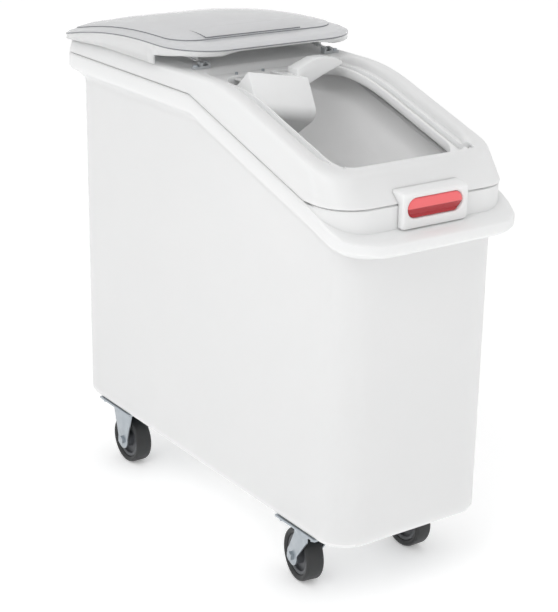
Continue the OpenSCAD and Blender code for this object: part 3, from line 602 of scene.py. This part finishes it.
# The foot is first drawn from z 0 to 1 and the web from z 10 to 11. Each of these four levels is
# then bent to where it belongs: along the arc, or just under the lid's sheet.
for x in (-rib_x, rib_x):
    for width, low_z in ((foot_w, 0.0), (web_w, 10.0)):
        made = bmesh.ops.create_cube(ribs, size=1.0)["verts"]
        bmesh.ops.scale(ribs, vec=(width, rib_l, 1.0), verts=made)
        bmesh.ops.translate(ribs, vec=(x, rib_middle_y, low_z + 0.5), verts=made)
for i in range(1, 24):
    bmesh.ops.bisect_plane(ribs, geom=ribs.verts[:] + ribs.edges[:] + ribs.faces[:], dist=1e-4,
                           plane_co=(0, rib_cut_y + rib_step * i, 0), plane_no=(0, 1, 0))
for v in ribs.verts:
    arc = pole_z + sqrt(rib_r ** 2 - (v.co.y - pole_y) ** 2)
    # at most 5 mm over the brim's line, and lower towards both ends
    sheet = lid_line(v.co.y) + 1.0 + min(4.0, (v.co.y - 20.0) / 10.0, (lid_rear - v.co.y) / 5.0)
    v.co.z = {0: arc, 1: arc + foot_h, 10: arc + foot_h / 2, 11: sheet}[round(v.co.z)]
make_piece("lid_running_ribs", ribs, polycarbonate, "lid")

# ---- Latch housing, hinge barrels ----
# The housing is moulded on the middle of the frame's front bar, with a rounded recess for the
# latch. The barrels are moulded on the rear edges of tub and frame, three to each steel pin.
housing_face = -347.5
housing_half_w = 53.0
barrel_r = 6.99
barrel_l = 16.0
housing_rings = [
    (housing_half_w, 566.4, 582.0, 2, 3, -28.0, level),
    (housing_half_w, 566.4, 582.3, 2, 3, -27.0, level),
    (housing_half_w, 566.3, 581.4, 2, 3, -9.4, level),
    (housing_half_w, 535.6, 581.3, 3, 3, -9.2, level),
    (housing_half_w, 534.6, 580.8, 4, 4, -4.6, level),
    (housing_half_w - 0.4, 534.5, 579.8, 5, 5, -2.0, level),
    (housing_half_w - 1.2, 535.2, 578.4, 5, 5, -0.5, level),
    (housing_half_w - 2.4, 536.4, 577.2, 5, 5, 0.0, level),
    (46.2, 545.3, 575.5, 14.9, 14.9, 0.0, level),
    (45.0, 546.5, 574.3, 13.8, 13.8, -0.5, level),
    (44.5, 547.0, 573.9, 13.4, 13.4, -1.8, level),
    (44.3, 547.2, 573.8, 13.2, 13.2, -11.0, level),
    (43.0, 548.5, 572.6, 11.9, 11.9, -12.6, level)]
housing = moulding(housing_rings, (level,), [], closed=False, capped=(0, -1))
bmesh.ops.rotate(housing, verts=housing.verts, matrix=Matrix.Rotation(pi / 2, 3, "X"))
bmesh.ops.translate(housing, verts=housing.verts, vec=(0, housing_face, 0))
make_piece("latch_housing", housing, polyethylene, "top_frame", sharp=50)


def barrels(places):
    """Hinge barrels on the rear edge, each with rounded ends."""
    bm = bmesh.new()
    for x in places:
        turned = Matrix.Translation((x, rim_rear, seam_z)) @ Matrix.Rotation(pi / 2, 4, "Y")
        bmesh.ops.create_cone(bm, cap_ends=True, segments=48, radius1=barrel_r, radius2=barrel_r,
                              depth=barrel_l, matrix=turned)
    ends = [e for e in bm.edges if abs(e.verts[0].co.x - e.verts[1].co.x) < 0.01]
    bmesh.ops.bevel(bm, geom=ends, offset=0.9, segments=3, profile=0.5, affect="EDGES", material=-1)
    return bm


make_piece("tub_hinge_barrels", barrels((-98.5, -65.5, 65.5, 98.5)), polyethylene, "tub")
make_piece("frame_hinge_barrels", barrels((-82, 82)), polyethylene, "top_frame")

# ---- Latch ----
# The red thumb latch, moulded in gloss ABS. It turns on a steel pin, and its face falls back
# below its upper half, where a painted highlight lightens the red, to a lip for the finger.
latch_crest = 560.0
latch_lip = 551.0
crest_depth = 0.4
lip_depth = 4.4


def latch_line(height):
    """How far the latch's face stands from the housing's face, at each height."""
    if height > latch_crest:
        return -crest_depth - 0.55 * ((height - latch_crest) / 11.0) ** 1.4
    if height > latch_lip:
        return -crest_depth - 4.0 * ((latch_crest - height) / (latch_crest - latch_lip)) ** 0.8
    return -lip_depth + 2.6 * min(1.0, (latch_lip - height) / 3.0)


latch_rings = [
    (42.8, 548.4, 572.7, 11.4, 11.4, -10.5, level),
    (43.6, 547.7, 573.2, 12.2, 12.2, -9.5, level),
    (43.6, 547.7, 573.2, 12.2, 12.2, -1.2, latch_line),
    (43.1, 548.1, 572.8, 11.8, 11.8, -0.4, latch_line),
    (42.0, 549.1, 571.8, 10.8, 10.8, 0.0, latch_line),
    (32.0, 554.0, 567.0, 5.0, 5.0, 0.0, latch_line)]
latch_cuts = [548.4, 549.2, 550.1, latch_lip, 552.6, 554.4, 556.2, 558.0, 559.2, latch_crest, 561.0, 562.5,
              564.5, 566.5, 568.5, 570.4, 571.9]
latch = moulding(latch_rings, (level, latch_line), latch_cuts, closed=False, capped=(0, -1))
bmesh.ops.rotate(latch, verts=latch.verts, matrix=Matrix.Rotation(pi / 2, 3, "X"))
bmesh.ops.translate(latch, verts=latch.verts, vec=(0, housing_face, 0))

# ABS, injection moulded in a polished mould: glossy, with a slight ripple of about 17 mm and
# rubbing from thumbs in marks of 6 mm. Above the crest the red is lighter: a painted highlight.
red_abs, tree = new_finish("abs_red_gloss_moulded")
place = add_node(tree, "ShaderNodeTexCoord").outputs["Object"]
rub = add_node(tree, "ShaderNodeTexNoise", [("Scale", 180.0), ("Detail", 5.0)], [("Vector", place)])
rough = add_node(tree, "ShaderNodeMapRange", [("To Min", 0.14), ("To Max", 0.3)],
                 [("Value", rub.outputs["Fac"])])
ripple = add_node(tree, "ShaderNodeTexNoise", [("Scale", 60.0), ("Detail", 0.0)], [("Vector", place)])
bump = add_node(tree, "ShaderNodeBump", [("Strength", 0.12), ("Distance", 0.0005)],
                [("Height", ripple.outputs["Fac"])])
height = add_node(tree, "ShaderNodeSeparateXYZ", [], [("Vector", place)])
# above the crest the red turns lighter: a painted highlight
upper = add_node(tree, "ShaderNodeMapRange", [("From Min", latch_crest / 1000 - 0.0006),
                 ("From Max", latch_crest / 1000 + 0.0008)], [("Value", height.outputs["Z"])])
tone = add_node(tree, "ShaderNodeMix",
                [("data_type", "RGBA"), (6, linear("#B01020")), (7, linear("#F4686C"))],
                [("Factor", upper.outputs["Result"])])
shader = add_node(tree, "ShaderNodeBsdfPrincipled",
                  [("IOR", 1.54), ("Coat Weight", 0.3), ("Coat Roughness", 0.08),
                   ("Subsurface Weight", 0.06), ("Subsurface Radius", (0.004, 0.001, 0.001))],
                  [("Base Color", tone.outputs["Result"]), ("Roughness", rough.outputs["Result"]),
                   ("Normal", bump.outputs["Normal"])])
add_node(tree, "ShaderNodeOutputMaterial", [], [("Surface", shader.outputs[0])])
make_piece("latch_thumb_plate", latch, red_abs, "latch", ["latch"], sharp=50)

# ---- Scoop ----
# Clear polycarbonate that use has turned milky: a square-backed bowl with an open channel for a
# handle, all one moulding about two millimetres thick.


def softened(node, name, material, body, width, segments=2, sharp=30.0):
    """A copy of a CAD node's shape with its flat faces merged and its edges rounded over."""
    bm = bmesh.new()
    bm.from_mesh(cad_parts[node].data)
    bmesh.ops.scale(bm, vec=(1000, 1000, 1000), verts=bm.verts)
    bmesh.ops.remove_doubles(bm, verts=bm.verts, dist=0.002)
    bmesh.ops.dissolve_limit(bm, angle_limit=radians(0.5), verts=bm.verts, edges=bm.edges)
    edges = [e for e in bm.edges if e.is_manifold and e.calc_face_angle(0.0) > radians(sharp)]
    bmesh.ops.bevel(bm, geom=edges, offset=width, segments=segments, profile=0.5, affect="EDGES",
                    material=-1, clamp_overlap=True)
    return make_piece(name, bm, material, body, [node], sharp=50)


# Polycarbonate, moulded and then scuffed: a milky body with a soft shine, a haze in patches of
# about 17 mm and a ripple of 33 mm.
scoop_plastic, tree = new_finish("polycarbonate_milky_moulded")
place = add_node(tree, "ShaderNodeTexCoord").outputs["Object"]
haze = add_node(tree, "ShaderNodeTexNoise", [("Scale", 60.0), ("Detail", 5.0)], [("Vector", place)])
rough = add_node(tree, "ShaderNodeMapRange", [("To Min", 0.16), ("To Max", 0.3)],
                 [("Value", haze.outputs["Fac"])])
ripple = add_node(tree, "ShaderNodeTexNoise", [("Scale", 30.0), ("Detail", 1.0)], [("Vector", place)])
bump = add_node(tree, "ShaderNodeBump", [("Strength", 0.15), ("Distance", 0.0008)],
                [("Height", ripple.outputs["Fac"])])
tone = add_node(tree, "ShaderNodeMix",
                [("data_type", "RGBA"), (6, linear("#FDFEFE")), (7, linear("#FAFBFB"))],
                [("Factor", haze.outputs["Fac"])])
shader = add_node(tree, "ShaderNodeBsdfPrincipled", [("IOR", 1.5), ("Transmission Weight", 0.08),
                  ("Subsurface Weight", 0.4), ("Subsurface Scale", 1.0),
                  ("Subsurface Radius", (0.002, 0.002, 0.002))],
                  [("Base Color", tone.outputs["Result"]), ("Roughness", rough.outputs["Result"]),
                   ("Normal", bump.outputs["Normal"])])
add_node(tree, "ShaderNodeOutputMaterial", [], [("Surface", shader.outputs[0])])
softened("scoop", "scoop_moulding", scoop_plastic, "scoop", 0.8, 3)

# ---- Scoop rack and glide blocks ----
# The rack is a moulded fork screwed up under the rear of the mouth; the grey nylon blocks are
# screwed to the deck and hold the feet of the lid's ribs.

# Nylon, moulded: a dull grey, with a grain drawn 1.4 mm wide, coarser than a mould's, to show.
nylon, tree = new_finish("nylon_grey_moulded")
place = add_node(tree, "ShaderNodeTexCoord").outputs["Object"]
grain = add_node(tree, "ShaderNodeTexNoise", [("Scale", 700.0), ("Detail", 3.0)], [("Vector", place)])
bump = add_node(tree, "ShaderNodeBump", [("Strength", 0.15), ("Distance", 0.0002)],
                [("Height", grain.outputs["Fac"])])
tone = add_node(tree, "ShaderNodeMix",
                [("data_type", "RGBA"), (6, linear("#B9BCBE")), (7, linear("#AEB1B4"))],
                [("Factor", grain.outputs["Fac"])])
rough = add_node(tree, "ShaderNodeMapRange", [("To Min", 0.42), ("To Max", 0.56)],
                 [("Value", grain.outputs["Fac"])])
shader = add_node(tree, "ShaderNodeBsdfPrincipled", [("IOR", 1.53)],
                  [("Base Color", tone.outputs["Result"]), ("Roughness", rough.outputs["Result"]),
                   ("Normal", bump.outputs["Normal"])])
add_node(tree, "ShaderNodeOutputMaterial", [], [("Surface", shader.outputs[0])])
softened("scoop_rack", "scoop_rack_moulding", polyethylene, "top_frame", 0.5, 2)
softened("glide_block_left", "glide_block_left_moulding", nylon, "top_frame", 0.5, 2)
softened("glide_block_right", "glide_block_right_moulding", nylon, "top_frame", 0.5, 2)

# ---- Casters: steel ----
# Mounting plates, rigid rigs and swivel forks are pressed from steel sheet and zinc plated;
# bolts, nuts, screws, pins and balls are turned or cold-headed and plated the same.

# Steel with bright zinc plate: a cool grey shine that is clouded over about 11 mm, with scratches
# drawn 0.7 mm wide, coarser than real ones, to show.
zinc, tree = new_finish("steel_pressed_bright_zinc")
place = add_node(tree, "ShaderNodeTexCoord").outputs["Object"]
cloud = add_node(tree, "ShaderNodeTexNoise", [("Scale", 90.0), ("Detail", 4.0)], [("Vector", place)])
scratch = add_node(tree, "ShaderNodeTexNoise", [("Scale", 1400.0), ("Detail", 2.0)], [("Vector", place)])
rough = add_node(tree, "ShaderNodeMapRange", [("To Min", 0.22), ("To Max", 0.42)],
                 [("Value", cloud.outputs["Fac"])])
bump = add_node(tree, "ShaderNodeBump", [("Strength", 0.1), ("Distance", 0.0001)],
                [("Height", scratch.outputs["Fac"])])
tone = add_node(tree, "ShaderNodeMix",
                [("data_type", "RGBA"), (6, linear("#BAC0C5")), (7, linear("#A6ADB3"))],
                [("Factor", cloud.outputs["Fac"])])
shader = add_node(tree, "ShaderNodeBsdfPrincipled", [("Metallic", 0.9)],
                  [("Base Color", tone.outputs["Result"]), ("Roughness", rough.outputs["Result"]),
                   ("Normal", bump.outputs["Normal"])])
add_node(tree, "ShaderNodeOutputMaterial", [], [("Surface", shader.outputs[0])])
for side in ("left", "right"):
    softened(f"rear_{side}_rig", f"rear_{side}_rig_pressing", zinc, "tub", 0.6)
    softened(f"front_{side}_plate", f"front_{side}_plate_pressing", zinc, "tub", 0.6)
    fork = f"front_{side}_fork"
    softened(fork, f"{fork}_pressing", zinc, fork, 0.6)

# ---- Casters: wheels ----
# A dark nylon wheel with a smooth black tyre moulded over its rim. The steel tube in its hub runs
# on the axle bolt.

# Thermoplastic rubber, moulded: black and dull, with floor dust in patches of about 9 mm.
rubber, tree = new_finish("rubber_black_moulded")
place = add_node(tree, "ShaderNodeTexCoord").outputs["Object"]
dust = add_node(tree, "ShaderNodeTexNoise", [("Scale", 110.0), ("Detail", 6.0)], [("Vector", place)])
rough = add_node(tree, "ShaderNodeMapRange", [("To Min", 0.4), ("To Max", 0.62)],
                 [("Value", dust.outputs["Fac"])])
bump = add_node(tree, "ShaderNodeBump", [("Strength", 0.2), ("Distance", 0.0003)],
                [("Height", dust.outputs["Fac"])])
tone = add_node(tree, "ShaderNodeMix",
                [("data_type", "RGBA"), (6, linear("#232425")), (7, linear("#303132"))],
                [("Factor", dust.outputs["Fac"])])
shader = add_node(tree, "ShaderNodeBsdfPrincipled", [("IOR", 1.5)],
                  [("Base Color", tone.outputs["Result"]), ("Roughness", rough.outputs["Result"]),
                   ("Normal", bump.outputs["Normal"])])
add_node(tree, "ShaderNodeOutputMaterial", [], [("Surface", shader.outputs[0])])
# Nylon, moulded in a dark grey: a low shine, with a grain drawn 2 mm wide to show.
dark_nylon, tree = new_finish("nylon_dark_moulded")
place = add_node(tree, "ShaderNodeTexCoord").outputs["Object"]
grain = add_node(tree, "ShaderNodeTexNoise", [("Scale", 500.0), ("Detail", 3.0)], [("Vector", place)])
rough = add_node(tree, "ShaderNodeMapRange", [("To Min", 0.34), ("To Max", 0.5)],
                 [("Value", grain.outputs["Fac"])])
bump = add_node(tree, "ShaderNodeBump", [("Strength", 0.1), ("Distance", 0.0002)],
                [("Height", grain.outputs["Fac"])])
tone = add_node(tree, "ShaderNodeMix",
                [("data_type", "RGBA"), (6, linear("#4A4C50")), (7, linear("#54565A"))],
                [("Factor", grain.outputs["Fac"])])
shader = add_node(tree, "ShaderNodeBsdfPrincipled", [("IOR", 1.53)],
                  [("Base Color", tone.outputs["Result"]), ("Roughness", rough.outputs["Result"]),
                   ("Normal", bump.outputs["Normal"])])
add_node(tree, "ShaderNodeOutputMaterial", [], [("Surface", shader.outputs[0])])
for end in ("rear", "front"):
    for side in ("left", "right"):
        tyre = f"{end}_{side}_tyre"
        wheel = f"{end}_{side}_wheel"
        softened(tyre, f"{tyre}_moulding", rubber, wheel, 2.0, 4)
        softened(wheel, f"{wheel}_moulding", dark_nylon, wheel, 0.8, 3)

# ---- Small hardware ----
# Pins, screws, bolts, nuts, balls, the latch spring and the bearings keep their CAD shape, in the
# same bright zinc plate as the pressings.
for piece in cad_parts.values():
    piece.data.materials.clear()
    piece.data.materials.append(zinc)
